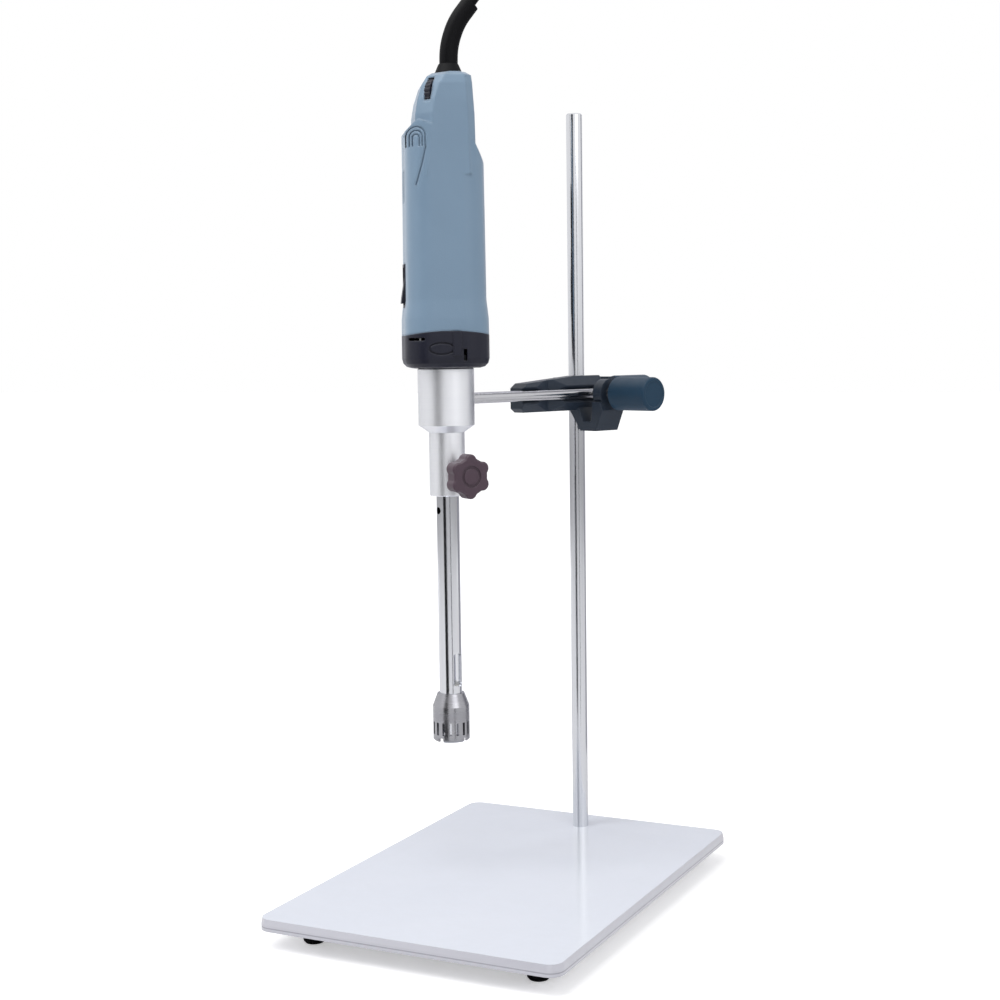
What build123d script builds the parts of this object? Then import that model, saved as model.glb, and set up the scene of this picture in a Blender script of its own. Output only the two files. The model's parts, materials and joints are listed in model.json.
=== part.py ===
from build123d import *
import os
from math import cos, radians, sin, sqrt, tan

# Rotor stator homogenizer on a plate stand. Millimetres, +Z up, feet standing on Z = 0.
# The origin is the middle of the footprint, from the plate's front edge to the rear knob's end.

# Fits
run_fit = 0.05  # radial clearance of a part that turns or slides in a bore
seat_fit = 0.02  # radial clearance of a part that is pressed or screwed in
tip_gap = 0.3  # between a clamp screw's tip and the round bar that it presses on

# Stand
plate_width = 220.0
plate_depth = 320.0
plate_thick = 8.0
plate_corner = 10.0
plate_bevel = 12.0  # degrees of draft on the upper half of the plate's edge
foot_dia = 18.0
foot_height = 13.5
foot_taper = 1.6
foot_seat = 7.0  # screw head's seat above the floor
foot_side_inset = 27.0
foot_end_inset = 30.0
foot_screw_dia = 4.0
foot_screw_grip = 6.0
rod_dia = 12.0
rod_length = 550.0
rod_inset = 31.0  # rod axis to the plate's back edge
rod_screw_dia = 8.0
rod_screw_grip = 16.0

# Boss head, in a frame with X along the arm's clamp screw and Y along the arm
arm_height = 339.0  # arm axis above the plate's top
arm_dia = 8.0
head_turn = -20.0  # degrees that the boss head and the motor are swung about the rod
web_thick = 3.3  # metal between the rod's slot and the arm's trough
jaw_width = 24.0
jaw_thick = 7.0
trough_reach = 73.0  # from the rod axis along the arm
trough_drop = 12.5
trough_rise_end = 8.5
trough_rise_rod = 13.5
trough_back = 2.0
trough_tail = 14.0
scallop_place = 43.0
scallop_width = 27.0
clamp_screw_dia = 8.0
clamp_boss_dia = 20.0
clamp_boss_start = 27.0
clamp_boss_end = 35.0
knob_start = 42.6
knob_dia = 25.0
knob_length = 36.0
arm_reach = 149.0  # rod axis to motor axis, along the arm
arm_tail = 20.0
arm_bite = 7.0  # how far the arm goes into the collar

# Motor, in a frame with X to its right and Y to its back; heights above the plate's top
motor_turn = 54.0  # degrees from the boss head's frame
collar_dia = 39.6
collar_rise = 22.0  # collar's top above the arm axis
collar_length = 40.0
collar_chamfer = 5.0
coupling_bore = 24.0
sleeve_dia = 25.2
sleeve_length = 44.5
spigot_dia = 28.0
spigot_height = 5.0
star_turn = -14.0  # degrees, in the boss head's frame
star_drop = 52.5  # knob's axis below the arm axis
star_dia = 31.0
star_thick = 10.0
star_stand = 25.0
star_screw_dia = 6.0
cap_height = 25.5
cap_width = 58.8
cap_depth = 60.0
cap_corner = 18.0
cap_round = 6.5
cap_wall = 3.0
cap_screw_dia = 3.0
cap_screw_grip = 34.0  # top of the cap screws above the collar
seam_sag = 3.0
flare_low = 34.0  # flare between the nose and the grip, above the collar's top
flare_high = 47.0
grip_width = 55.4
grip_depth = 58.6
waist_width = 54.2
waist_depth = 57.6
shoulder_rise = 139.0  # waist above the collar's top
body_height = 200.5  # motor's top above the collar's top
body_wall = 2.6
neck_facet = 11.0  # flat across the neck's front left corner
louvre_depth = 0.9
shaft_dia = 8.0
bearing_dia = 22.0
bearing_width = 7.0
field_dia = 47.0
field_bore = 31.0
field_start = 80.0  # above the collar's top
field_length = 32.0
air_gap = 0.5
fan_dia = 34.0
commutator_dia = 20.0
switch_rise = 57.0
switch_length = 30.0
switch_width = 13.0
wheel_dia = 20.0
wheel_thick = 4.5
wheel_drop = 14.0  # wheel's axis below the motor's top
wheel_proud = 1.5
board_thick = 1.6
pot_size = 7.0
pivot_dia = 2.4

# Dispersing tool
tube_dia = 16.0
tube_bore = 12.4
tool_insert = 46.5  # length of tube inside the sleeve
stator_dia = 26.0
stator_length = 25.0
stator_wall = 2.4
stator_rise = 96.6  # stator's open end above the plate's top
stator_slots = 16
slot_width = 2.0
slot_length = 9.0
cone_length = 9.0
window_length = 24.0
window_width = 9.0
window_above_cone = 7.0
vent_dia = 5.0
vent_drop = 10.5
rotor_shaft_dia = 6.0
rotor_gap = 0.4
rotor_length = 14.0

# Mains cord
cord_dia = 7.0
boot_base_dia = 21.0
boot_dia = 12.8
boot_side = 5.2
hank_run = 140.0
hank_turns = 4
hank_gap = 4.0  # from the motor's back to the hank
hank_shift = 5.0
tie_width = 14.0
tie_thick = 1.5
plug_dia = 24.0
plug_length = 38.0
plug_side = 24.0

# Derived sizes
plate_top = foot_height + plate_thick
rod_slot = rod_dia / 2 + 0.4
arm_offset = rod_slot + web_thick + (arm_dia / 2 + run_fit) * sqrt(2)
knob_end = knob_start + knob_length
rear_overhang = knob_end * cos(radians(head_turn)) + knob_dia / 2 * abs(sin(radians(head_turn)))
rod_y = (plate_depth - rod_inset - rear_overhang) / 2
plate_y = rod_y + rod_inset - plate_depth / 2
collar_top = arm_height + collar_rise
collar_low = collar_top - collar_length
sleeve_low = collar_low - collar_chamfer - sleeve_length
body_top = collar_top + body_height
waist = collar_top + shoulder_rise
cap_screw_top = collar_top + cap_screw_grip
field_low = collar_top + field_start
field_top = field_low + field_length
carrier_low = field_top + 20.0
upper_bearing = carrier_low + 4.0
lower_bearing = collar_top + 8.0
switch_height = collar_top + switch_rise
wheel_height = body_top - wheel_drop
board_low = upper_bearing + bearing_width + 14.0
tube_top = sleeve_low + tool_insert
coupling_low = tube_top + 6.0
coupling_top = collar_top - 6.0
tang_top = coupling_low + 9.0
cone_top = stator_rise + stator_length + cone_length
rotor_dia = stator_dia - 2 * stator_wall - 2 * rotor_gap
hank_fold = 3 * cord_dia
hank_deep = (hank_turns + 1) * cord_dia
hank_low = collar_top + 6.0
back_face = cap_depth / 2

rod_place = Location((0, rod_y, plate_top))
head_place = rod_place * Location((0, 0, 0), (0, 0, head_turn))
arm_place = head_place * Location((0, 0, arm_height))
tool_place = head_place * Location((arm_offset, -arm_reach, 0))
motor_place = tool_place * Location((0, 0, 0), (0, 0, motor_turn))


def rod(diameter, low, high):
    """A round bar along Z from low to high."""
    return Pos(0, 0, low) * extrude(Circle(diameter / 2), high - low)


def ring(outer, inner, low, high):
    """A round tube along Z from low to high."""
    return rod(outer, low, high) - rod(inner, low - 1, high + 1)


def slab(points, depth, plane):
    """A polygon in a plane, extruded to both sides by half the depth."""
    return extrude(plane * make_face(Polyline(*points, close=True)), depth / 2, both=True)


def block(x, y, z):
    """A box between pairs of limits."""
    size = (x[1] - x[0], y[1] - y[0], z[1] - z[0])
    middle = ((x[0] + x[1]) / 2, (y[0] + y[1]) / 2, (z[0] + z[1]) / 2)
    return Pos(*middle) * Box(*size)


# Stand

def foot_places():
    side = plate_width / 2 - foot_side_inset
    end = plate_depth / 2 - foot_end_inset
    return [Pos(x, plate_y + y, 0) for x in (-side, side) for y in (-end, end)]


def base_plate():
    outline = RectangleRounded(plate_width, plate_depth, plate_corner)
    lower = extrude(outline, plate_thick / 2)
    upper = Pos(0, 0, plate_thick / 2) * extrude(outline, plate_thick / 2, taper=plate_bevel)
    plate = Pos(0, plate_y, foot_height) * (lower + upper)
    for place in foot_places():
        plate -= place * rod(foot_screw_dia + 2 * seat_fit, foot_height - 1, foot_height + foot_screw_grip)
    screw = Pos(0, rod_y, 0)
    plate -= screw * rod(rod_screw_dia + 4 * run_fit, 0, plate_top + 1)
    sink = rod_screw_dia / 2 + 2 * run_fit
    plate -= screw * Pos(0, 0, foot_height + sink / 2) * Cone(2 * sink, sink, sink)
    return plate


def rubber_feet():
    r = foot_dia / 2
    side = [(foot_screw_dia / 2 + seat_fit, foot_height), (r, foot_height), (r, foot_height - 3)]
    side += [(r - foot_taper, 1.4), (r - foot_taper - 1.2, 0), (4.4, 0), (4.4, foot_seat)]
    side += [(foot_screw_dia / 2 + seat_fit, foot_seat)]
    foot = revolve(Plane.XZ * make_face(Polyline(*side, close=True)), Axis.Z)
    return Compound([place * foot for place in foot_places()])


def foot_screws():
    head = rod(7.4, foot_seat - 1.8, foot_seat) - Pos(0, 0, foot_seat - 1.8) * Box(1.1, 5, 1.6)
    screw = head + rod(foot_screw_dia, foot_seat, foot_height + foot_screw_grip - 0.5)
    return Compound([place * screw for place in foot_places()])


def rod_screw():
    r = rod_screw_dia / 2
    head = Pos(0, 0, foot_height + r / 2) * Cone(2 * r, r, r)
    screw = head + rod(rod_screw_dia, foot_height, plate_top + rod_screw_grip)
    socket = extrude(RegularPolygon(2.9, 6), 3)
    return Pos(0, rod_y, 0) * (screw - Pos(0, 0, foot_height - 0.1) * socket)


def support_rod():
    bar = extrude(Circle(rod_dia / 2), rod_length)
    bar = chamfer(bar.edges().group_by(Axis.Z)[-1], 1)
    bar -= rod(rod_screw_dia + 2 * seat_fit, -1, rod_screw_grip + 2)
    return rod_place * Pos(0, 0, seat_fit) * bar


# Boss head and its clamps

def trough():
    """The long V trough that the arm lies in, scalloped half way along."""
    root = arm_offset - (arm_dia / 2 + run_fit) * sqrt(2)
    lip = 6.4
    deep = 16.0
    section = [(trough_back, -deep), (root - 0.7, -deep), (root + lip, -lip), (root, 0), (root + lip, lip)]
    section += [(root - 0.7, deep), (trough_back, deep)]
    side = Polyline(
        (-trough_reach, -trough_drop + 3), (-trough_reach + 4, -trough_drop), (trough_tail, -trough_drop),
        (trough_tail, trough_rise_rod), (-12, trough_rise_rod), (-trough_reach + 5, trough_rise_end + 0.5),
        (-trough_reach, trough_rise_end - 3), close=True,
    )
    beam = slab(section, 2 * (trough_reach + trough_tail), Plane.XZ)
    beam &= extrude(Plane.YZ * make_face(side), 2 * trough_reach, both=True)
    notch = [(root + 1.6, 0), (root + lip + 3, -scallop_width), (root + lip + 3, scallop_width)]
    return beam - Pos(0, -scallop_place, 0) * slab(notch, 4 * deep, Plane.XY)


def arm_jaw():
    """The bracket under the arm that carries its clamp screw."""
    end = clamp_boss_end
    low = trough_drop + 2 * jaw_thick + 1.5
    outer = [(trough_back + 2, -trough_drop + 2), (trough_back + 2, -trough_drop), (15, -low), (31, -low)]
    outer += [(end + 2.5, -trough_drop), (end, -6), (clamp_boss_start, -6), (clamp_boss_start, -trough_drop)]
    outer += [(clamp_boss_start - 1.5, -low + jaw_thick), (18, -low + jaw_thick), (13, -trough_drop + 2)]
    bracket = slab(outer, jaw_width, Plane.XZ)
    boss = Rot(0, 90, 0) * rod(clamp_boss_dia + 2, clamp_boss_start, end)
    return bracket + boss


def rod_jaw():
    """The bracket behind the rod that carries its clamp screw, with a V block for the rod."""
    end = clamp_boss_end
    wide = rod_slot + 2 * jaw_thick - 3.4
    side = [(trough_back + 6, -16), (-9, -16), (-wide, -8), (-wide, clamp_boss_start), (-wide + 6, end)]
    side += [(8, end), (8, clamp_boss_start), (jaw_thick - wide, clamp_boss_start), (jaw_thick - wide, 2)]
    side += [(trough_back + 6, 2)]
    bracket = slab(side, jaw_width, Plane.XY)
    boss = Rot(-90, 0, 0) * rod(clamp_boss_dia, clamp_boss_start, end)
    return bracket + boss


def boss_head():
    body = trough() + arm_jaw() + rod_jaw()
    root = (rod_dia / 2 + run_fit) * sqrt(2)
    slot = [(0, -root), (rod_slot, rod_slot - root), (rod_slot, clamp_boss_start)]
    slot += [(-rod_slot, clamp_boss_start), (-rod_slot, rod_slot - root)]
    body -= slab(slot, 80, Plane.XY)
    bore = clamp_screw_dia + 2 * run_fit
    body -= Rot(0, 90, 0) * rod(bore, arm_offset + arm_dia, clamp_boss_end + 5)
    body -= Rot(-90, 0, 0) * rod(bore, rod_slot + 8, clamp_boss_end + 5)
    return body


def clamp_spindle(tip):
    """A threaded spindle along Z, with a turned-down tip that presses on a bar."""
    end = knob_start + 0.6 * knob_length
    spindle = rod(clamp_screw_dia, tip + 2, end) + rod(clamp_screw_dia - 2, tip, tip + 2)
    return spindle + rod(clamp_screw_dia + 5, clamp_boss_end + 2.5, knob_start)


def clamp_knob():
    """A plain round grip with a stepped end disc."""
    r = knob_dia / 2
    side = Polyline((0, knob_start), (r - 1.2, knob_start), (r, knob_start + 1.2), (r, knob_end - 1.5))
    end = Polyline((r - 1.5, knob_end), (r - 2.6, knob_end), (r - 3.0, knob_end - 0.5), (0, knob_end - 0.5))
    edge = RadiusArc((r, knob_end - 1.5), (r - 1.5, knob_end), -1.5)
    face = make_face([side, edge, end, Line((0, knob_end - 0.5), (0, knob_start))])
    grip = revolve(Plane.XZ * face, Axis.Z)
    return grip - rod(clamp_screw_dia + 2 * seat_fit, knob_start - 1, knob_start + 0.6 * knob_length)


def arm_rod():
    start = -arm_reach + collar_dia / 2 - arm_bite
    bar = extrude(Circle(arm_dia / 2), arm_tail - start)
    bar = chamfer(bar.edges().filter_by(GeomType.CIRCLE), 0.6)
    return Pos(arm_offset, start, 0) * Rot(-90, 0, 0) * bar


# Collar, star knob and drive coupling

def coupling_collar():
    """One turned piece: spigot, clamping collar, chamfer and sleeve."""
    outer, inner, neck = collar_dia / 2, coupling_bore / 2, sleeve_dia / 2
    bore = tube_dia / 2 + run_fit
    side = [
        (inner, tube_top + 2), (inner, collar_top + spigot_height), (spigot_dia / 2, collar_top + spigot_height),
        (spigot_dia / 2, collar_top), (outer - 0.8, collar_top), (outer, collar_top - 0.8), (outer, collar_low),
        (neck, collar_low - collar_chamfer), (neck, sleeve_low + 0.6), (neck - 0.6, sleeve_low),
        (bore, sleeve_low), (bore, tube_top + 2),
    ]
    collar = revolve(Plane.XZ * make_face(Polyline(*side, close=True)), Axis.Z)
    arm_hole = rod(arm_dia + 2 * run_fit, collar_dia / 2 - arm_bite - 0.3, collar_dia)
    collar -= Pos(0, 0, arm_height) * Rot(-90, 0, 0) * arm_hole
    screw_hole = rod(star_screw_dia + 2 * run_fit, 0, sleeve_dia)
    return collar - star_place() * screw_hole


def star_place():
    """The star knob's axis as Z, starting on the tube's axis."""
    return Pos(0, 0, arm_height - star_drop) * Rot(0, 0, star_turn) * Rot(0, 90, 0)


def star_knob():
    """A six-lobed knob with a hub behind and a ring groove on its face."""
    lobe = 4.6
    outline = Circle(star_dia / 2 - 2.6) + PolarLocations(star_dia / 2 - lobe, 6) * Circle(lobe)
    outline = fillet(outline.vertices(), 2.4)
    knob = extrude(outline, star_thick)
    knob = chamfer(knob.faces().sort_by(Axis.Z)[-1].edges(), 1.0)
    knob -= ring(15, 11, star_thick - 0.9, star_thick + 1)
    hub = Pos(0, 0, -3) * Cone(5.5, 7.5, 6)
    hole = rod(star_screw_dia + 2 * seat_fit, -7, star_thick - 4)
    return star_place() * Pos(0, 0, star_stand) * (knob + hub - hole)


def star_screw():
    tip = tube_dia / 2 + tip_gap
    return star_place() * rod(star_screw_dia, tip, star_stand + star_thick - 4)


def drive_coupling():
    """A steel dog clutch: motor shaft above, the rotor shaft's tang below."""
    body = rod(18, coupling_low, coupling_top) - rod(shaft_dia + 2 * seat_fit, coupling_top - 11, coupling_top + 1)
    body -= rod(rotor_shaft_dia + 4 * run_fit, coupling_low - 1, tang_top - 7)
    slot = Pos(0, 0, (tang_top + coupling_low) / 2) * Box(7, 2.6, tang_top - coupling_low + 1)
    return body - slot


# Motor housing

def frame_section(width, depth, corner, height):
    return Pos(0, 0, height) * RectangleRounded(width, depth, corner)


def neck_sections():
    """The neck's left, right, front and back at heights up to the motor's top."""
    top, back = body_top, waist_depth / 2
    return [
        (-25.0, 21.0, -back, 25.0, waist - 8), (-20.4, 20.3, -back, 19.5, waist + 13.5),
        (-20.0, 19.9, -back, 18.2, top - 28), (-18.3, 19.2, -back, 16.6, top - 18),
        (-15.0, 18.6, -back + 0.3, 15.2, top - 8), (-11.5, 18.0, -back + 1.4, 14.4, top - 2.6),
        (-7.6, 14.6, -back + 5, 11.5, top),
    ]


def neck(inset):
    """The tapered neck, with a flat across its front left corner."""
    slices = []
    for left, right, front, back, height in neck_sections():
        left, right, front, back = left + inset, right - inset, front + inset, back - inset
        facet = min(neck_facet - 0.6 * inset, (right - left) / 2)
        points = [(left, back - 4), (left, front + facet), (left + facet, front), (right - 5, front)]
        points += [(right, front + 5), (right, back - 4), (right - 4, back), (left + 4, back)]
        level = height - inset if height > waist + 20 else height
        slices.append(Pos(0, 0, level) * make_face(Polyline(*points, close=True)))
    form = Part()
    for low, high in zip(slices, slices[1:]):
        form += loft([low, high], ruled=True)
    return form


def housing_form(inset):
    """The housing's outer form, or with an inset the form of its hollow."""
    low = collar_top + cap_height - seam_sag - 10
    sizes = [
        (cap_width, cap_depth, cap_corner, low), (cap_width - 0.4, cap_depth, cap_corner, collar_top + flare_low),
        (grip_width, grip_depth, cap_corner - 1, collar_top + flare_high),
        (waist_width, waist_depth, cap_corner - 1, waist), (waist_width, waist_depth, cap_corner - 1, waist + 30),
    ]
    tower = [frame_section(w - 2 * inset, d - 2 * inset, corner - inset, z) for w, d, corner, z in sizes]
    form = Part()
    for one, other in zip(tower, tower[1:]):
        form += loft([one, other], ruled=True)
    wide, left_low = cap_width, body_top - 39.5
    front = [(-wide, low - 5), (wide, low - 5), (wide, waist), (waist_width / 2, waist), (19.0, waist + 15)]
    front += [(-18.5, left_low + 7.5), (-21.4, left_low + 5.5), (-waist_width / 2, left_low), (-wide, left_low)]
    side = [(-wide, low - 5), (wide, low - 5), (wide, waist - 3), (waist_depth / 2, waist - 3), (18.5, waist + 26)]
    side += [(-wide, waist + 40)]
    for plane, outline in ((Plane.XZ, front), (Plane.YZ, side)):
        face = make_face(Polyline(*outline, close=True))
        form &= extrude(plane * (offset(face, -inset) if inset else face), 2 * wide, both=True)
    return form + neck(inset)


def seam_cylinder(shift):
    """A big round along Y whose top is the arched seam between cap and housing."""
    radius = (cap_width / 2) ** 2 / (2 * seam_sag) + seam_sag / 2
    centre = collar_top + cap_height - radius
    return Pos(0, 0, centre) * Rot(90, 0, 0) * Cylinder(radius + shift, 4 * cap_width)


def vent_slots():
    """Cooling louvres low on both shoulders of the housing."""
    slots = []
    for side in (-1, 1):
        for i in range(4):
            slot = Pos(side * waist_width / 2, -5 + 6 * i, waist - 14) * Box(14, 2, 22)
            slots.append(slot)
    return slots


def shoulder_louvres():
    """Nested arch grooves on the front of the left shoulder, with a vent and a thin line below."""
    middle, foot = -20.5, body_top - 50.5
    cuts = Part()
    for half, high in ((6.4, 13.5), (4.5, 11.0), (2.6, 8.5)):
        arch = Pos(middle, foot + high - half) * Circle(half) + Pos(middle, foot + (high - half) / 2) * Rectangle(
            2 * half, high - half)
        inner = Pos(middle, foot + high - half) * Circle(half - louvre_depth) + Pos(
            middle, foot + (high - half) / 2) * Rectangle(2 * (half - louvre_depth), high - half)
        cuts += extrude(Plane.XZ * (arch - inner), cap_depth)
    curve = ThreePointArc((middle + 6.4, foot), (middle + 3.0, foot - 14), (middle - 0.5, foot - 26))
    cuts += extrude(Plane.XZ * trace(curve, louvre_depth), cap_depth)
    return cuts - housing_form(louvre_depth)


def switch_recess(grow):
    half, deep = switch_length / 2 + grow, switch_width / 2 + grow
    return block((-cap_width, -19 - grow), (-deep, deep), (switch_height - half, switch_height + half))


def wheel_place():
    """The thumbwheel's centre, with X out through the neck's facet and Y along its axle."""
    left, front = -17.0, -waist_depth / 2
    inward = (neck_facet / 2) + (wheel_dia / 2 - wheel_proud) / sqrt(2)
    return Pos(left + inward, front + inward, wheel_height) * Rot(0, 0, 225)


def wheel_slot():
    return wheel_place() * Rot(90, 0, 0) * Cylinder(wheel_dia / 2 + 0.8, wheel_thick + 1.2)


def screw_places():
    """Housing screws, each along Y, as (x, z)."""
    low, high = collar_top + 38, upper_bearing + bearing_width + 7
    return [(-23, low), (23, low), (-19, high), (14, high), (12, body_top - 12)]


def cap_screw_places():
    return [(x, y) for x in (-19, 19) for y in (-18, 18)]


def housing():
    """Both shells in one: wall, ribs that hold the motor, and screw bosses."""
    outer, hollow = housing_form(0), housing_form(body_wall)
    fixed = (hollow & rod(100, field_low, field_low + 3)) - rod(field_dia + 0.1, 0, 999)
    fixed += (hollow & rod(100, field_top - 3, field_top)) - rod(field_dia + 0.1, 0, 999)
    seat = rod(100, upper_bearing - 1, upper_bearing + bearing_width + 2)
    seat -= rod(bearing_dia + 2 * seat_fit, upper_bearing - 2, upper_bearing + bearing_width)
    seat -= rod(bearing_dia - 6, 0, 999)
    fixed += hollow & seat
    fixed += hollow & ring(100, field_dia - 3, carrier_low - 2, carrier_low)
    for x, z in screw_places():
        fixed += hollow & (Pos(x, 0, z) * Rot(90, 0, 0) * Cylinder(4.2, 70))
    for x, y in cap_screw_places():
        fixed += hollow & (Pos(x, y, 0) * rod(9, collar_top, cap_screw_top + 3))
    for x in (-8, -1):
        low = board_low - wheel_height + 4
        post = block((x - 1.5, x + 1.5), (board_side() + board_thick, 40), (low, low + 5))
        fixed += hollow & (wheel_place() * post)
    shell = outer - hollow + fixed
    shell -= seam_cylinder(0)
    shell -= switch_recess(seat_fit) + wheel_slot() + shoulder_louvres()
    for slot in vent_slots():
        shell -= slot
    shell -= Pos(boot_side, 0, 0) * rod(boot_dia + 0.2, body_top - 10, body_top + 10)
    for x, z in screw_places():
        shell -= Pos(x, 0, z) * Rot(90, 0, 0) * Cylinder(1.5 + seat_fit, 30)
        shell -= block((x - 3.2, x + 3.2), (10, 60), (z - 3.2, z + 3.2))
    for x, y in cap_screw_places():
        shell -= Pos(x, y, 0) * rod(cap_screw_dia + 2 * seat_fit, 0, cap_screw_top)
    return shell


def housing_shell(sign, whole):
    half = block((-80, 80), (0, 80) if sign > 0 else (-80, 0), (0, 999))
    return whole & half


def housing_screws():
    screws = []
    for x, z in screw_places():
        head = Pos(x, 11.2, z) * Rot(90, 0, 0) * Cylinder(2.9, 2.4)
        shank = Pos(x, -1, z) * Rot(90, 0, 0) * Cylinder(1.5, 22)
        screws.append(head + shank)
    return Compound(screws)


def end_cap():
    """The black nose of the motor, with its bearing seat, vents and moulded details."""
    base = collar_top
    sections = []
    for turn in (0, 30, 60, 90):
        inset = cap_round * (1 - sin(radians(turn)))
        height = base + cap_round * (1 - cos(radians(turn)))
        sections.append(frame_section(cap_width - 2 * inset, cap_depth - 2 * inset, cap_corner - inset, height))
    sections.append(frame_section(cap_width, cap_depth, cap_corner, base + cap_height + 1))
    cap = Part() + [loft(list(pair), ruled=True) for pair in zip(sections, sections[1:])]
    cap &= seam_cylinder(0)
    room = extrude(frame_section(cap_width - 2 * cap_wall, cap_depth - 2 * cap_wall, cap_corner - cap_wall, 0), 60)
    cap -= Pos(0, 0, base + cap_round + 2.5) * room
    cap += rod(bearing_dia + 7, base, lower_bearing + bearing_width)
    cap -= rod(bearing_dia + 2 * seat_fit, lower_bearing, base + 60)
    cap -= rod(spigot_dia + 2 * seat_fit, base - 1, base + spigot_height + 0.2)
    cap -= rod(shaft_dia + 6, base, base + 20)
    face = cap_depth / 2
    oval = Ellipse(9.2, 4.4) - Ellipse(8.0, 3.3)
    cap -= Pos(-5.6, 1 - face, base + 13.5) * Rot(90, 0, 0) * extrude(oval, 4)
    rib = block((2.2, 8.0), (-face - 0.8, -face + 2), (base + cap_round + 2, base + cap_height))
    cap += rib & seam_cylinder(0)
    for y in (-face, face):
        cap -= Pos(10.6, y, base + 9) * Box(2.4, 12, 8)
    cap -= block((-27, -17), (-face, 1 - face / 2), (base + cap_height - 6.5, base + cap_height - 4.5))
    for x, y in cap_screw_places():
        cap -= Pos(x, y, 0) * (rod(cap_screw_dia + 4 * seat_fit, base, base + 40) + rod(7, base - 1, base + 6))
    return cap


def end_cap_screws():
    screw = rod(6.6, collar_top + 3.6, collar_top + 6) + rod(cap_screw_dia, collar_top + 6, cap_screw_top - 1)
    screw -= rod(2, collar_top, collar_top + 4.8)
    return Compound([Pos(x, y, 0) * screw for x, y in cap_screw_places()])


# Motor internals

def field_core():
    core = ring(field_dia, field_bore, field_low, field_top)
    for side in (-1, 1):
        core -= block((side * 21 - 2.5, side * 21 + 2.5), (-12, 12), (0, 999))
    return core


def field_coils():
    coils = [ring(field_dia - 6, field_bore + 4, field_top, field_top + 7)]
    coils.append(ring(field_dia - 6, field_bore + 4, field_low - 7, field_low))
    return Compound(coils)


def armature_shaft():
    shaft = rod(shaft_dia, coupling_top - 10.5, upper_bearing + bearing_width + 1)
    return chamfer(shaft.edges().filter_by(GeomType.CIRCLE), 0.5)


def armature_core():
    core = ring(field_bore - 2 * air_gap, shaft_dia + 2 * seat_fit, field_low + 1, field_top - 1)
    for i in range(12):
        core -= Rot(0, 0, 30 * i) * block((12, 20), (-0.9, 0.9), (0, 999))
    return core


def armature_windings():
    ends = [(field_low - 6, field_low + 1), (field_top - 1, field_top + 6)]
    return Compound([ring(field_bore - 7, shaft_dia + 4, low, high) for low, high in ends])


def commutator():
    bore = shaft_dia + 2 * seat_fit
    body = ring(commutator_dia, bore, field_top + 9, carrier_low + 1)
    return body + ring(commutator_dia + 3, bore, field_top + 6, field_top + 9)


def cooling_fan():
    low = collar_top + 27
    fan = ring(fan_dia, shaft_dia + 2 * seat_fit, low, low + 2) + ring(16, shaft_dia + 2 * seat_fit, low, low + 10)
    for i in range(9):
        fan += Rot(0, 0, 40 * i) * block((7, fan_dia / 2 - 0.5), (-0.8, 0.8), (low + 1, low + 10))
    return fan


def bearing(low):
    body = ring(bearing_dia, shaft_dia + 2 * run_fit, low, low + bearing_width)
    return body - ring(bearing_dia - 5, shaft_dia + 5, low + bearing_width - 0.6, low + bearing_width + 1)


def brush_carrier():
    """The moulded ring above the field that the brush holders are fixed to."""
    return ring(field_dia + 0.6, commutator_dia + 5, carrier_low, carrier_low + 3)


def brush_holders():
    high = carrier_low
    side = block((12.5, 21.5), (-4, 4), (high - 8, high)) - block((0, 30), (-3.1, 3.1), (high - 7.1, high - 0.9))
    return Compound([side, Rot(0, 0, 180) * side])


def carbon_brushes():
    high = carrier_low
    brush = block((commutator_dia / 2 + 0.3, 20), (-3, 3), (high - 7, high - 1))
    return Compound([brush, Rot(0, 0, 180) * brush])


def board_side():
    """The board's face, measured along the thumbwheel's axle."""
    return wheel_thick / 2 + 0.3 + pot_size - 2


def speed_board():
    """The controller's circuit board, with the potentiometer that carries the thumbwheel."""
    near, half, low = board_side(), pot_size / 2, board_low - wheel_height
    board = block((-9.5, half - 1), (near, near + board_thick), (low, half + 1))
    board += block((-half, half - 1), (wheel_thick / 2 + 0.3, near), (-half, half))
    board += block((-9, -3), (near - 5, near), (low + 10, low + 18))
    pin = Pos(0, near / 2 - 1, 0) * Rot(90, 0, 0) * Cylinder(2, near + 2)
    return wheel_place() * (board + pin)


def speed_thumbwheel():
    wheel = Cylinder(wheel_dia / 2, wheel_thick)
    for i in range(20):
        wheel -= Rot(0, 0, 18 * i) * Pos(wheel_dia / 2 + 0.3, 0, 0) * Cylinder(0.8, wheel_thick + 1)
    wheel -= Cylinder(2 + run_fit, wheel_thick + 1)
    return wheel_place() * Rot(90, 0, 0) * wheel


def switch_face():
    """How far left of the axis the housing's wall is at the switch."""
    low = collar_top + flare_high
    share = (switch_height - low) / (waist - low)
    return -(grip_width + (waist_width - grip_width) * share) / 2


def pivot_place():
    return Pos(switch_face() + 2.2, 0, switch_height) * Rot(90, 0, 0)


def switch_body():
    """The switch's frame, open on the left for the rocker."""
    half, deep, face = switch_length / 2, switch_width / 2, switch_face()
    body = block((face - 0.8, -19), (-deep, deep), (switch_height - half, switch_height + half))
    well = block((face - 5, -22), (1.8 - deep, deep - 1.8), (switch_height - half + 2, switch_height + half - 2))
    return body - well - pivot_place() * Cylinder(pivot_dia / 2 + run_fit, switch_width - 1)


def switch_rocker():
    """A dished rocker on a pivot pin along Y."""
    half, deep, face = switch_length / 2 - 2.8, switch_width / 2 - 2.1, switch_face()
    side = Polyline(
        (face + 0.6, half), (face + 3.2, half - 0.4), (face + 4.6, 0), (face + 3.2, 0.4 - half),
        (face - 2.8, 0.2 - half), (face - 2.4, -half + 4), (face - 1.1, 0), (face + 0.3, half - 3), close=True,
    )
    rocker = extrude(Plane.XZ * make_face(side), deep, both=True)
    return Pos(0, 0, switch_height) * rocker + pivot_place() * Cylinder(pivot_dia / 2, switch_width - 1.4)


# Dispersing tool

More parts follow.
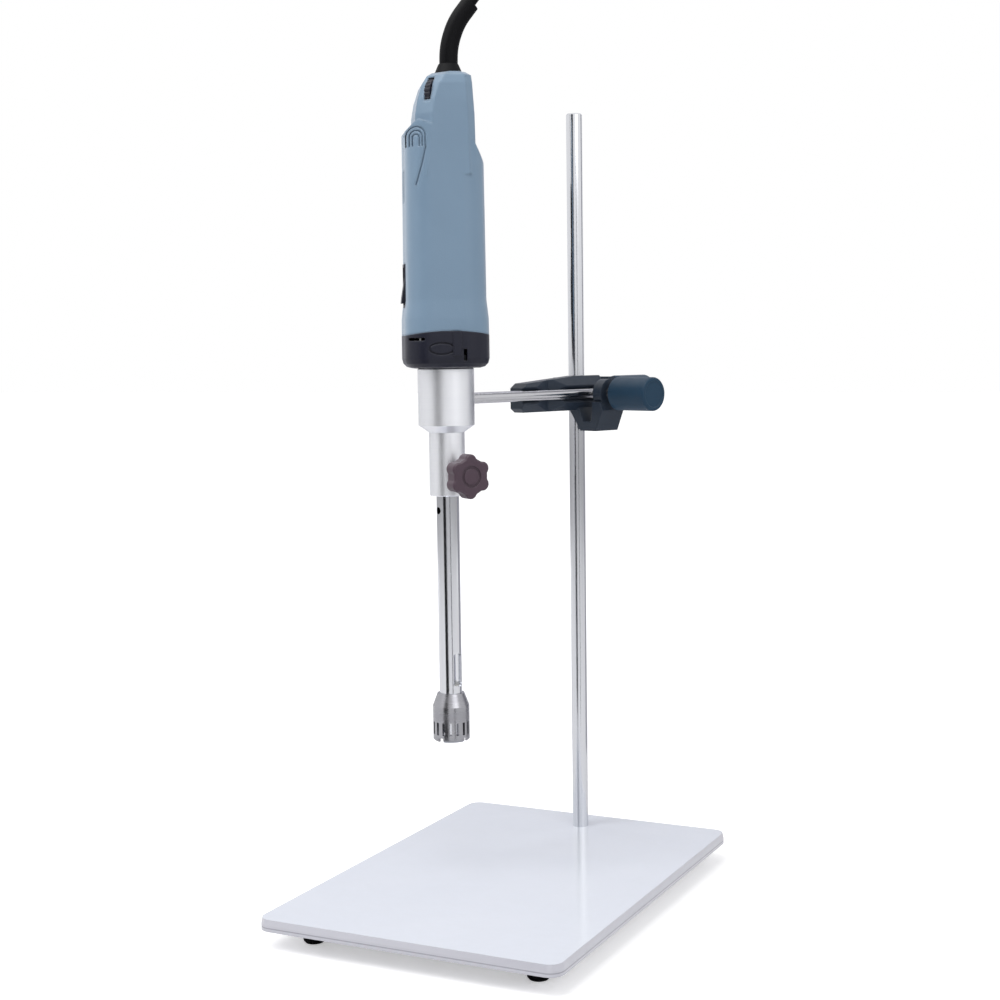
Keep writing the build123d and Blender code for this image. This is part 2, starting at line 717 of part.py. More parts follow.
def stator_tube():
    """The long tube, with a vent under the sleeve and two drain windows above the stator."""
    tube = ring(tube_dia, tube_bore, cone_top - 3, tube_top)
    vent = Rot(0, 0, -101) * Pos(0, 0, sleeve_low - vent_drop) * Rot(0, 90, 0) * rod(vent_dia, 0, tube_dia)
    low = cone_top + window_above_cone - 2
    window = block((0, 0.001 + tube_dia), (-window_width / 2, window_width / 2), (low, low + window_length))
    window = fillet(window.edges().filter_by(Axis.X), 3)
    tube -= vent
    for turn in (0, 180):
        tube -= Rot(0, 0, turn + 5) * window
    return tube


def stator_head():
    """The cage: a cone down from the tube, then a slotted cylinder open at the bottom."""
    r, low = stator_dia / 2, stator_rise
    top = low + stator_length
    inner = r - stator_wall
    side = [
        (tube_dia / 2 + seat_fit, cone_top), (tube_dia / 2 + 1.6, cone_top), (r, top), (r, low + 1.2), (r - 1.2, low),
        (inner, low), (inner, top - 4), (tube_bore / 2, top), (tube_bore / 2, cone_top - 3),
        (tube_dia / 2 + seat_fit, cone_top - 3),
    ]
    head = revolve(Plane.XZ * make_face(Polyline(*side, close=True)), Axis.Z)
    step = 360 / stator_slots
    middle = low + 5 + slot_length / 2
    for i in range(stator_slots):
        head -= Rot(0, 0, step * i) * Pos(r, 0, middle) * Box(3 * stator_wall, slot_width, slot_length)
    for i in range(stator_slots // 4):
        notch = Pos(r, 0, low) * Box(3 * stator_wall, 2 * slot_width, 6)
        head -= Rot(0, 0, 4 * step * i + step / 2) * notch
    return head


def shaft_bushes():
    outer, inner = tube_bore - 2 * seat_fit, rotor_shaft_dia + 2 * run_fit
    places = [tube_top - 8, (tube_top + cone_top) / 2, cone_top - 2]
    return Compound([ring(outer, inner, low, low + 7) for low in places])


def rotor_shaft():
    low = stator_rise + rotor_length
    shaft = rod(rotor_shaft_dia, low, tang_top - 8)
    tang = block((-2.9, 2.9), (-1.0, 1.0), (tang_top - 9, tang_top))
    return shaft + tang


def rotor_head():
    """Two swept blades on a hub, just clear of the stator's slots."""
    low, r = stator_rise + 2.5, rotor_dia / 2
    hub = rod(rotor_shaft_dia + 4, low, stator_rise + rotor_length + 4)
    hub -= rod(rotor_shaft_dia + 2 * seat_fit, stator_rise + rotor_length, 999)
    rim = ring(rotor_dia, rotor_dia - 3.2, low, low + rotor_length)
    blades = rim & (block((-20, 20), (-3.4, 3.4), (0, 999)) + block((-3.4, 3.4), (-20, 20), (0, 999)))
    web = block((-r + 1, r - 1), (-1.5, 1.5), (low + 3, low + 8))
    web += block((-1.5, 1.5), (1 - r, r - 1), (low + 3, low + 8))
    return hub + blades + (web & rod(rotor_dia - 1, 0, 999)) - rod(rotor_shaft_dia, stator_rise + rotor_length, 999)


# Mains cord, in the motor's frame

def cord_boot():
    """A moulded strain relief: a plug held by the shells, a skirt, and a bent sleeve."""
    plug = rod(boot_dia, body_top - 7, body_top) + rod(boot_dia + 2, body_top - 7, body_top - 3.4)
    skirt = Pos(0, 0, body_top + 4) * Cone(boot_base_dia / 2, boot_dia / 2 + 0.6, 8)
    path = FilletPolyline((0, 0, body_top), (0.4, 0, body_top + 20.5), (5.8, 0, body_top + 36.5),
                          (15.8, 0, body_top + 49.5), radius=[50, 46])
    sleeve = sweep(Plane(path @ 0, z_dir=path % 0) * Circle(boot_dia / 2), path)
    return Pos(boot_side, 0, 0) * (plug + skirt + sleeve)


cord_route = [
    (21.0, 0.0, 611.0), (35.0, 0.0, 629.2), (49.5, 13.0, 650.0), (56.0, 41.0, 661.0), (49.0, 69.5, 654.0),
    (31.5, 82.0, 631.5), (16.0, 79.0, 604.5), (12.4, 72.5, 578.0), (11.0, 65.5, 552.5), (9.0, 58.5, 529.0),
    (6.5, 52.0, 508.0),
]


def tangent_radii(points):
    """The largest arc at each corner of a route, from its shorter run and half its turn."""
    radii = []
    for a, b, c in zip(points, points[1:], points[2:]):
        one, two = Vector(*b) - Vector(*a), Vector(*c) - Vector(*b)
        half = radians(one.get_angle(two)) / 2
        radii.append(0.45 * min(one.length, two.length) / tan(half))
    return radii


def power_cord():
    radii = tangent_radii(cord_route)
    print("cord arc radii, mm:", [round(r, 1) for r in radii])
    path = FilletPolyline(*cord_route, radius=radii)
    cord = sweep(Plane(path @ 0, z_dir=path % 0) * Circle(cord_dia / 2), path)
    section = 3.14159265 * cord_dia ** 2 / 4
    print("cord route, mm:", round(path.length, 1), "volume against section times length:",
          round(cord.volume / (section * path.length), 4))
    return cord


def hank_place():
    return Pos(hank_shift, back_face + hank_gap + hank_deep / 2, hank_low + hank_run / 2) * Rot(90, 0, 0)


def cord_hank():
    """The stored length: an oblong bundle of turns."""
    wide = 2 * hank_fold
    outer = SlotOverall(hank_run, wide + cord_dia)
    inner = SlotOverall(hank_run - 2 * cord_dia, wide - cord_dia)
    return hank_place() * Rot(0, 0, 90) * extrude((outer - inner), hank_deep / 2, both=True)


def cord_tie():
    """A strap round both sides of the hank."""
    wide = 2 * hank_fold + cord_dia
    band = Rectangle(wide + 2 * tie_thick, hank_deep + 2 * tie_thick) - Rectangle(wide, hank_deep)
    place = Pos(hank_shift, back_face + hank_gap + hank_deep / 2, hank_low + hank_run / 2)
    return place * extrude(band, tie_width / 2, both=True)


def mains_plug():
    """A moulded two-pin plug hanging against the hank."""
    back = back_face + hank_gap + hank_deep + tie_thick + plug_dia / 2
    top = hank_low + hank_run / 2
    body = rod(plug_dia, top - plug_length, top - 6) + Pos(0, 0, top - 3) * Cone(plug_dia / 2, 6, 6)
    pins = rod(4.8, top - plug_length - 19, top - plug_length)
    plug = body + Pos(-9.5 + 3, 0, 0) * pins + Pos(9.5 - 3, 0, 0) * pins
    return Pos(plug_side, back, 0) * plug


whole_housing = housing()
height_screw = Rot(-90, 0, 0)
arm_screw = Rot(0, 90, 0)
nodes = {
    "base_plate": base_plate(),
    "rubber_feet": rubber_feet(),
    "foot_screws": foot_screws(),
    "rod_screw": rod_screw(),
    "support_rod": support_rod(),
    "boss_head": arm_place * boss_head(),
    "arm_clamp_spindle": arm_place * arm_screw * clamp_spindle(arm_offset + arm_dia / 2 + tip_gap),
    "arm_clamp_knob": arm_place * arm_screw * clamp_knob(),
    "rod_clamp_spindle": arm_place * height_screw * clamp_spindle(rod_dia / 2 + tip_gap),
    "rod_clamp_knob": arm_place * height_screw * clamp_knob(),
    "arm_rod": arm_place * arm_rod(),
    "coupling_collar": tool_place * coupling_collar(),
    "star_knob": tool_place * star_knob(),
    "star_knob_screw": tool_place * star_screw(),
    "housing_front": motor_place * housing_shell(-1, whole_housing),
    "housing_rear": motor_place * housing_shell(1, whole_housing),
    "housing_screws": motor_place * housing_screws(),
    "end_cap": motor_place * end_cap(),
    "end_cap_screws": motor_place * end_cap_screws(),
    "field_core": motor_place * field_core(),
    "field_coils": motor_place * field_coils(),
    "brush_carrier": motor_place * brush_carrier(),
    "brush_holders": motor_place * brush_holders(),
    "carbon_brushes": motor_place * carbon_brushes(),
    "upper_bearing": motor_place * bearing(upper_bearing),
    "lower_bearing": motor_place * bearing(lower_bearing),
    "speed_board": motor_place * speed_board(),
    "switch_body": motor_place * switch_body(),
    "switch_rocker": motor_place * switch_rocker(),
    "speed_thumbwheel": motor_place * speed_thumbwheel(),
    "armature_shaft": motor_place * armature_shaft(),
    "armature_core": motor_place * armature_core(),
    "armature_windings": motor_place * armature_windings(),
    "commutator": motor_place * commutator(),
    "cooling_fan": motor_place * cooling_fan(),
    "drive_coupling": motor_place * drive_coupling(),
    "stator_tube": tool_place * stator_tube(),
    "stator_head": tool_place * stator_head(),
    "shaft_bushes": tool_place * shaft_bushes(),
    "rotor_shaft": motor_place * rotor_shaft(),
    "rotor_head": motor_place * rotor_head(),
    "cord_boot": motor_place * cord_boot(),
    "power_cord": motor_place * power_cord(),
    "cord_hank": motor_place * cord_hank(),
    "cord_tie": motor_place * cord_tie(),
    "mains_plug": motor_place * mains_plug(),
}

os.makedirs("parts", exist_ok=True)
for name, shape in nodes.items():
    export_step(shape, f"parts/{name}.step")
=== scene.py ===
import json
from math import cos, radians, sin

import bpy
from mathutils import Matrix, Vector


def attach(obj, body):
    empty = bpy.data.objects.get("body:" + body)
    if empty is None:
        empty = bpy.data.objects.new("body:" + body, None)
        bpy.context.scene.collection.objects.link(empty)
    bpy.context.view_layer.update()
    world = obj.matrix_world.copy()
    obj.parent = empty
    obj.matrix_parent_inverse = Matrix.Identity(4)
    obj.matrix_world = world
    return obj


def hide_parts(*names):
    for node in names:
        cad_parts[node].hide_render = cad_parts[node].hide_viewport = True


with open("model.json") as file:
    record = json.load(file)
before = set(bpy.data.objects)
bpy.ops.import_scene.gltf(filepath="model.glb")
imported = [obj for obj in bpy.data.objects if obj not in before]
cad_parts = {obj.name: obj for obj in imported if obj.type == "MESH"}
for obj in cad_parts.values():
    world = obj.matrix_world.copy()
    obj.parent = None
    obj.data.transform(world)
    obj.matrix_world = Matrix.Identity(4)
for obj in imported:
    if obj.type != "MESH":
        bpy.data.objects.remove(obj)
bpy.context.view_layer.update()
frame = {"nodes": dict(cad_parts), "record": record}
scene = bpy.context.scene
nodes = frame["nodes"]
print("stage 1: frame loaded,", len(nodes), "nodes")

# The motor's own frame, in millimetres: its axis, its turn and the plate's top
motorSpot = {"x": -36.464, "y": -39.858, "turn": 34.0, "plateTop": 21.5}


def fromMotor(x, y, z):
    turn = radians(motorSpot["turn"])
    across = x * cos(turn) - y * sin(turn) + motorSpot["x"]
    along = x * sin(turn) + y * cos(turn) + motorSpot["y"]
    return Vector((across, along, z + motorSpot["plateTop"])) / 1000


# Camera: place in metres, angles in degrees, lens and sensor in millimetres
view = {
    "place": (0.5258, -1.1031, 0.3970),
    "yaw": -26.119,
    "pitch": 5.130,
    "roll": -0.770,
    "lens": 61.62,
    "sensor": 36.0,
}


def addCamera():
    yaw, pitch, roll = (radians(view[key]) for key in ("yaw", "pitch", "roll"))
    ahead = Vector((sin(yaw) * cos(pitch), cos(yaw) * cos(pitch), -sin(pitch)))
    right = Vector((cos(yaw), -sin(yaw), 0))
    up = right.cross(ahead)
    tiltedRight = right * cos(roll) + up * sin(roll)
    tiltedUp = up * cos(roll) - right * sin(roll)
    data = bpy.data.cameras.new("camera")
    data.lens = view["lens"]
    data.sensor_width = view["sensor"]
    camera = bpy.data.objects.new("camera", data)
    turn = Matrix((tiltedRight, tiltedUp, -ahead)).transposed().to_4x4()
    camera.matrix_world = Matrix.Translation(view["place"]) @ turn
    scene.collection.objects.link(camera)
    scene.camera = camera


addCamera()
print("stage 2: camera")

# Mains cord: one line from the boot, over the top, down behind the motor and into the hank.
# Its points are in the motor's frame. Length in metres, angles in degrees, the rest in millimetres.
cord = {
    "diameter": 7.0,
    "length": 1.62,
    "turns": 4,
    "firstTurnY": 37.5,
    "hankX": 5.0,
    "hankLow": 367.0,
    "hankHigh": 507.0,
    "runPoints": 3,
    "runSpacing": 36.0,
    "rightRunDrop": 6.0,  # first point of a right run, below the top fold's centre
    "leftRunRise": 10.0,  # first point of a left run, above the bottom fold's centre
    "foldPoints": 5,
    "foldAngle": 36.0,
    "foldRadius": 21.0,
    "foldEase": 1.08,  # the line passes inside the points of a fold
    "foldInset": 24.5,  # fold's centre from the end of the hank
    "sway": {"size": 0.6, "pace": 2.1},
    "lift": {"size": 1.2, "pace": 1.7, "start": 0.4},
}
cordStart = [
    (21.0, 0.0, 611.0),
    (35.0, 0.0, 629.2),
    (49.5, 13.0, 650.0),
    (56.0, 41.0, 661.0),
    (49.0, 69.5, 654.0),
    (31.5, 82.0, 631.5),
    (16.0, 79.0, 604.5),
    (12.4, 72.5, 578.0),
    (12.0, 64.0, 552.5),
    (16.0, 54.0, 529.0),
    (22.5, 44.5, 511.0),
    (27.2, 39.0, 497.0),
]
cordEnd = [
    (25.9, 67.0, 467.5),
    (25.4, 71.5, 459.0),
    (24.7, 76.5, 451.5),
    (24.2, 80.8, 444.0),
    (24.0, 82.0, 437.0),
]


def hankPoints():
    # Each turn: down the right run, round the bottom fold, up the left run and round the top fold
    centre, radius = cord["hankX"], cord["foldRadius"]
    bend = radius * cord["foldEase"]
    low, high = cord["hankLow"] + cord["foldInset"], cord["hankHigh"] - cord["foldInset"]
    bottomFold = cord["runPoints"]
    leftRun = bottomFold + cord["foldPoints"]
    topFold = leftRun + cord["runPoints"]
    steps = topFold + cord["foldPoints"]
    loose = (1, 2, leftRun + 1, leftRun + 2)  # points of a run that lie a little to one side
    sway, lift, spacing = cord["sway"], cord["lift"], cord["runSpacing"]
    points = []
    for step in range(cord["turns"] * steps + 1):
        part = step % steps
        y = cord["firstTurnY"] + cord["diameter"] * step / steps
        aside = sway["size"] * sin(sway["pace"] * step) if part in loose else 0
        raised = lift["size"] * sin(lift["pace"] * (step // steps) + lift["start"])
        if part < bottomFold:
            points.append((centre + radius + aside, y, high - cord["rightRunDrop"] - spacing * part))
        elif part < leftRun:
            angle = radians(-cord["foldAngle"] * (part - bottomFold + 0.5))
            points.append((centre + bend * cos(angle), y, low + raised + bend * sin(angle)))
        elif part < topFold:
            rise = cord["leftRunRise"] + spacing * (part - leftRun)
            points.append((centre - radius + aside, y, low + rise))
        else:
            angle = radians(180 - cord["foldAngle"] * (part - topFold + 0.5))
            points.append((centre + bend * cos(angle), y, high - raised + bend * sin(angle)))
    return points


def addCord():
    points = [fromMotor(*p) for p in cordStart + hankPoints() + cordEnd]
    curve = bpy.data.curves.new("mainsCord", "CURVE")
    curve.dimensions = "3D"
    curve.bevel_depth = 1.0  # the radius at each point is then the cord's own, in metres
    curve.bevel_resolution = 6
    curve.resolution_u = 8
    curve.use_fill_caps = True
    spline = curve.splines.new("NURBS")
    spline.points.add(len(points) - 1)
    for place, point in zip(spline.points, points):
        place.co = (*point, 1)
        place.radius = cord["diameter"] / 2000
    spline.order_u = 3
    spline.use_endpoint_u = True
    piece = bpy.data.objects.new("mainsCord", curve)
    scene.collection.objects.link(piece)
    return piece


mainsCord = addCord()
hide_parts("power_cord", "cord_hank")
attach(mainsCord, "motor")
print("stage 3: mains cord")


# Shader helpers
def addNode(tree, kind, **settings):
    node = tree.nodes.new(kind)
    for name, value in settings.items():
        setattr(node, name, value)
    return node


def setInputs(node, **values):
    # An underscore stands for the space in a socket's name
    for name, value in values.items():
        node.inputs[name.replace("_", " ")].default_value = value


def newGroup(name, inputs, outputs):
    group = bpy.data.node_groups.new(name, "ShaderNodeTree")
    for label, kind, value in inputs:
        socket = group.interface.new_socket(name=label, in_out="INPUT", socket_type=kind)
        socket.default_value = value
    for label, kind in outputs:
        group.interface.new_socket(name=label, in_out="OUTPUT", socket_type=kind)
    return group, addNode(group, "NodeGroupInput"), addNode(group, "NodeGroupOutput")


def makeGrainGroup():
    # Moulded or painted grain: a fine noise for the height, a slow one for patches of colour and gloss
    group, source, result = newGroup(
        "surfaceGrain",
        [("Grain Scale", "NodeSocketFloat", 2500.0), ("Patch Scale", "NodeSocketFloat", 30.0)],
        [("Height", "NodeSocketFloat"), ("Patches", "NodeSocketFloat")])
    place = addNode(group, "ShaderNodeTexCoord")
    fine = addNode(group, "ShaderNodeTexNoise")
    setInputs(fine, Detail=3.0, Roughness=0.55)
    slow = addNode(group, "ShaderNodeTexNoise")
    setInputs(slow, Detail=4.0, Roughness=0.6)
    links = group.links
    for node, scale in ((fine, "Grain Scale"), (slow, "Patch Scale")):
        links.new(place.outputs["Object"], node.inputs["Vector"])
        links.new(source.outputs[scale], node.inputs["Scale"])
    links.new(fine.outputs["Fac"], result.inputs["Height"])
    links.new(slow.outputs["Fac"], result.inputs["Patches"])
    return group


def makeWearGroup():
    # Edge mask: where the rounded normal leaves the real one, broken up by a noise
    group, source, result = newGroup(
        "edgeWear",
        [("Radius", "NodeSocketFloat", 0.0006), ("Break Up", "NodeSocketFloat", 400.0)],
        [("Mask", "NodeSocketFloat")])
    soft = addNode(group, "ShaderNodeBevel", samples=4)
    real = addNode(group, "ShaderNodeNewGeometry")
    gap = addNode(group, "ShaderNodeVectorMath", operation="DOT_PRODUCT")
    noise = addNode(group, "ShaderNodeTexNoise")
    place = addNode(group, "ShaderNodeTexCoord")
    edge = addNode(group, "ShaderNodeMapRange")
    setInputs(edge, From_Min=0.985, From_Max=0.86)
    chips = addNode(group, "ShaderNodeMath", operation="MULTIPLY")
    links = group.links
    links.new(source.outputs["Radius"], soft.inputs["Radius"])
    links.new(soft.outputs["Normal"], gap.inputs[0])
    links.new(real.outputs["Normal"], gap.inputs[1])
    links.new(gap.outputs["Value"], edge.inputs["Value"])
    links.new(place.outputs["Object"], noise.inputs["Vector"])
    links.new(source.outputs["Break Up"], noise.inputs["Scale"])
    links.new(edge.outputs["Result"], chips.inputs[0])
    links.new(noise.outputs["Fac"], chips.inputs[1])
    links.new(chips.outputs["Value"], result.inputs["Mask"])
    return group


def makeStreakGroup():
    # Long fine scratches along one axis: a noise whose scale is small on that axis
    bandShare = 0.12  # the bands' scale, as a share of the scratches'
    group, source, result = newGroup(
        "drawnStreaks",
        [("Stretch", "NodeSocketVector", (1.0, 1.0, 0.02)), ("Scale", "NodeSocketFloat", 900.0)],
        [("Height", "NodeSocketFloat"), ("Bands", "NodeSocketFloat")])
    place = addNode(group, "ShaderNodeTexCoord")
    squeeze = addNode(group, "ShaderNodeVectorMath", operation="MULTIPLY")
    fine = addNode(group, "ShaderNodeTexNoise")
    setInputs(fine, Detail=4.0, Roughness=0.6)
    slow = addNode(group, "ShaderNodeTexNoise")
    setInputs(slow, Detail=2.0)
    bandScale = addNode(group, "ShaderNodeMath", operation="MULTIPLY")
    bandScale.inputs[1].default_value = bandShare
    links = group.links
    links.new(place.outputs["Object"], squeeze.inputs[0])
    links.new(source.outputs["Stretch"], squeeze.inputs[1])
    links.new(source.outputs["Scale"], bandScale.inputs[0])
    links.new(squeeze.outputs["Vector"], fine.inputs["Vector"])
    links.new(squeeze.outputs["Vector"], slow.inputs["Vector"])
    links.new(source.outputs["Scale"], fine.inputs["Scale"])
    links.new(bandScale.outputs["Value"], slow.inputs["Scale"])
    links.new(fine.outputs["Fac"], result.inputs["Height"])
    links.new(slow.outputs["Fac"], result.inputs["Bands"])
    return group


def makeDustGroup():
    # Faint dust that settles on what faces up
    group, source, result = newGroup(
        "settledDust",
        [("Amount", "NodeSocketFloat", 0.3), ("Scale", "NodeSocketFloat", 60.0)],
        [("Mask", "NodeSocketFloat")])
    real = addNode(group, "ShaderNodeNewGeometry")
    split = addNode(group, "ShaderNodeSeparateXYZ")
    place = addNode(group, "ShaderNodeTexCoord")
    noise = addNode(group, "ShaderNodeTexNoise")
    setInputs(noise, Detail=6.0, Roughness=0.7)
    faceUp = addNode(group, "ShaderNodeMapRange")
    setInputs(faceUp, From_Min=0.35, From_Max=1.0)
    mix = addNode(group, "ShaderNodeMath", operation="MULTIPLY")
    scaled = addNode(group, "ShaderNodeMath", operation="MULTIPLY")
    links = group.links
    links.new(real.outputs["Normal"], split.inputs[0])
    links.new(split.outputs["Z"], faceUp.inputs["Value"])
    links.new(place.outputs["Object"], noise.inputs["Vector"])
    links.new(source.outputs["Scale"], noise.inputs["Scale"])
    links.new(faceUp.outputs["Result"], mix.inputs[0])
    links.new(noise.outputs["Fac"], mix.inputs[1])
    links.new(mix.outputs["Value"], scaled.inputs[0])
    links.new(source.outputs["Amount"], scaled.inputs[1])
    links.new(scaled.outputs["Value"], result.inputs["Mask"])
    return group


def makeBandGroup():
    # Masks for a plate's edge: all that faces sideways, which carries painted shade, and a thin seam round
    # it at one height
    group, source, result = newGroup(
        "edgeBands",
        [("Seam Height", "NodeSocketFloat", 0.0), ("Seam Width", "NodeSocketFloat", 0.001)],
        [("Side", "NodeSocketFloat"), ("Seam", "NodeSocketFloat")])
    real = addNode(group, "ShaderNodeNewGeometry")
    facing = addNode(group, "ShaderNodeSeparateXYZ")
    place = addNode(group, "ShaderNodeSeparateXYZ")
    sideways = addNode(group, "ShaderNodeMapRange")
    setInputs(sideways, From_Min=0.75, From_Max=0.5)
    near = addNode(group, "ShaderNodeMath", operation="COMPARE")
    both = addNode(group, "ShaderNodeMath", operation="MULTIPLY")
    links = group.links
    links.new(real.outputs["Normal"], facing.inputs[0])
    links.new(real.outputs["Position"], place.inputs[0])
    links.new(facing.outputs["Z"], sideways.inputs["Value"])
    links.new(place.outputs["Z"], near.inputs[0])
    links.new(source.outputs["Seam Height"], near.inputs[1])
    links.new(source.outputs["Seam Width"], near.inputs[2])
    links.new(sideways.outputs["Result"], both.inputs[0])
    links.new(near.outputs["Value"], both.inputs[1])
    links.new(sideways.outputs["Result"], result.inputs["Side"])
    links.new(both.outputs["Value"], result.inputs["Seam"])
    return group


grainGroup = makeGrainGroup()
bandGroup = makeBandGroup()
wearGroup = makeWearGroup()
streakGroup = makeStreakGroup()
dustGroup = makeDustGroup()


def useGroup(tree, group, **values):
    node = addNode(tree, "ShaderNodeGroup", node_tree=group)
    setInputs(node, **values)
    return node


def mixColour(tree, mask, first, second):
    mix = addNode(tree, "ShaderNodeMix", data_type="RGBA")
    tree.links.new(mask, mix.inputs["Factor"])
    for socket, value in ((mix.inputs["A"], first), (mix.inputs["B"], second)):
        if isinstance(value, tuple):
            socket.default_value = (*value, 1)
        else:
            tree.links.new(value, socket)
    return mix.outputs["Result"]


def roughRange(tree, source, low, high):
    # Roughness that follows a noise between two values
    node = addNode(tree, "ShaderNodeMapRange")
    setInputs(node, From_Min=0.3, From_Max=0.7, To_Min=low, To_Max=high)
    tree.links.new(source, node.inputs["Value"])
    return node.outputs["Result"]


def bumpFrom(tree, height, strength, distance, edgeRadius=0.0):
    # A bump on top of edges that are rounded off by a small radius
    bump = addNode(tree, "ShaderNodeBump")
    setInputs(bump, Strength=strength, Distance=distance)
    tree.links.new(height, bump.inputs["Height"])
    if edgeRadius:
        soft = addNode(tree, "ShaderNodeBevel", samples=6)
        setInputs(soft, Radius=edgeRadius)
        tree.links.new(soft.outputs["Normal"], bump.inputs["Normal"])
    return bump.outputs["Normal"]


def newMaterial(name):
    material = bpy.data.materials.new(name)
    material.use_nodes = True
    return material, material.node_tree, material.node_tree.nodes["Principled BSDF"]


# What all the mouldings share, and what all the bare metals share
mouldedLook = {"bump": 0.35, "dust": (0.5, 0.5, 0.5), "glossier": 0.04, "duller": 0.06}
metalLook = {"bump": 0.2}


def moulded(name, colour, shade, rough, grainScale, bumpDepth, wearColour=None, specular=0.5, coat=0.0,
            sheen=0.0, edgeRadius=0.0005):
    # Plastic or rubber: slow colour patches, fine grain, rubbed edges and a little dust
    material, tree, shader = newMaterial(name)
    grain = useGroup(tree, grainGroup, Grain_Scale=grainScale, Patch_Scale=22.0)
    dust = useGroup(tree, dustGroup, Amount=0.16, Scale=90.0)
    body = mixColour(tree, grain.outputs["Patches"], colour, shade)
    if wearColour:
        wear = useGroup(tree, wearGroup, Radius=0.0005, Break_Up=300.0)
        body = mixColour(tree, wear.outputs["Mask"], body, wearColour)
    body = mixColour(tree, dust.outputs["Mask"], body, mouldedLook["dust"])
    tree.links.new(body, shader.inputs["Base Color"])
    low, high = rough - mouldedLook["glossier"], rough + mouldedLook["duller"]
    tree.links.new(roughRange(tree, grain.outputs["Patches"], low, high), shader.inputs["Roughness"])
    normal = bumpFrom(tree, grain.outputs["Height"], mouldedLook["bump"], bumpDepth, edgeRadius)
    tree.links.new(normal, shader.inputs["Normal"])
    setInputs(shader, Specular_IOR_Level=specular, Coat_Weight=coat, Coat_Roughness=0.15, Sheen_Weight=sheen,
              Sheen_Roughness=0.45)
    return material


def metal(name, colour, shade, low, high, stretch, scale, bumpDepth=0.00002):
    # Bare metal: streaks along its working direction in colour, gloss and bump
    material, tree, shader = newMaterial(name)
    streak = useGroup(tree, streakGroup, Stretch=stretch, Scale=scale)
    body = mixColour(tree, streak.outputs["Bands"], colour, shade)
    tree.links.new(body, shader.inputs["Base Color"])
    tree.links.new(roughRange(tree, streak.outputs["Bands"], low, high), shader.inputs["Roughness"])
    normal = bumpFrom(tree, streak.outputs["Height"], metalLook["bump"], bumpDepth)
    tree.links.new(normal, shader.inputs["Normal"])
    setInputs(shader, Metallic=1.0)
    return material


plateEdge = {
    "seamHeight": 0.0159,
    "seamWidth": 0.0004,
    # Painted shade: the colour of the plate's sideways faces, darker than its top
    "paintedSideShade": (0.56, 0.56, 0.62),
    "seam": (0.36, 0.36, 0.41),
}


def enamelled(name):
    # The stand's plate: glossy white enamel whose sideways faces are painted darker as painted shade, with a
    # dark seam line between the edge's two bands
    material = moulded(name, (0.74, 0.78, 0.87), (0.79, 0.82, 0.9), rough=0.13, grainScale=700.0,
                       bumpDepth=0.00003, wearColour=(0.45, 0.46, 0.53), coat=0.5)
    tree = material.node_tree
    colour = tree.nodes["Principled BSDF"].inputs["Base Color"]
    bands = useGroup(tree, bandGroup, Seam_Height=plateEdge["seamHeight"], Seam_Width=plateEdge["seamWidth"])
    # Painted shade on the sideways faces, then the dark seam line over it
    edge = mixColour(tree, bands.outputs["Side"], colour.links[0].from_socket, plateEdge["paintedSideShade"])
    tree.links.new(mixColour(tree, bands.outputs["Seam"], edge, plateEdge["seam"]), colour)
    return material


# How far a metal's streaks reach along x, y and z: a small scale draws them out
lengthwise = (1.0, 1.0, 0.015)
roundwise = (0.03, 0.03, 1.0)
alongArm = (0.3, 0.03, 1.0)
evenly = (1.0, 1.0, 1.0)

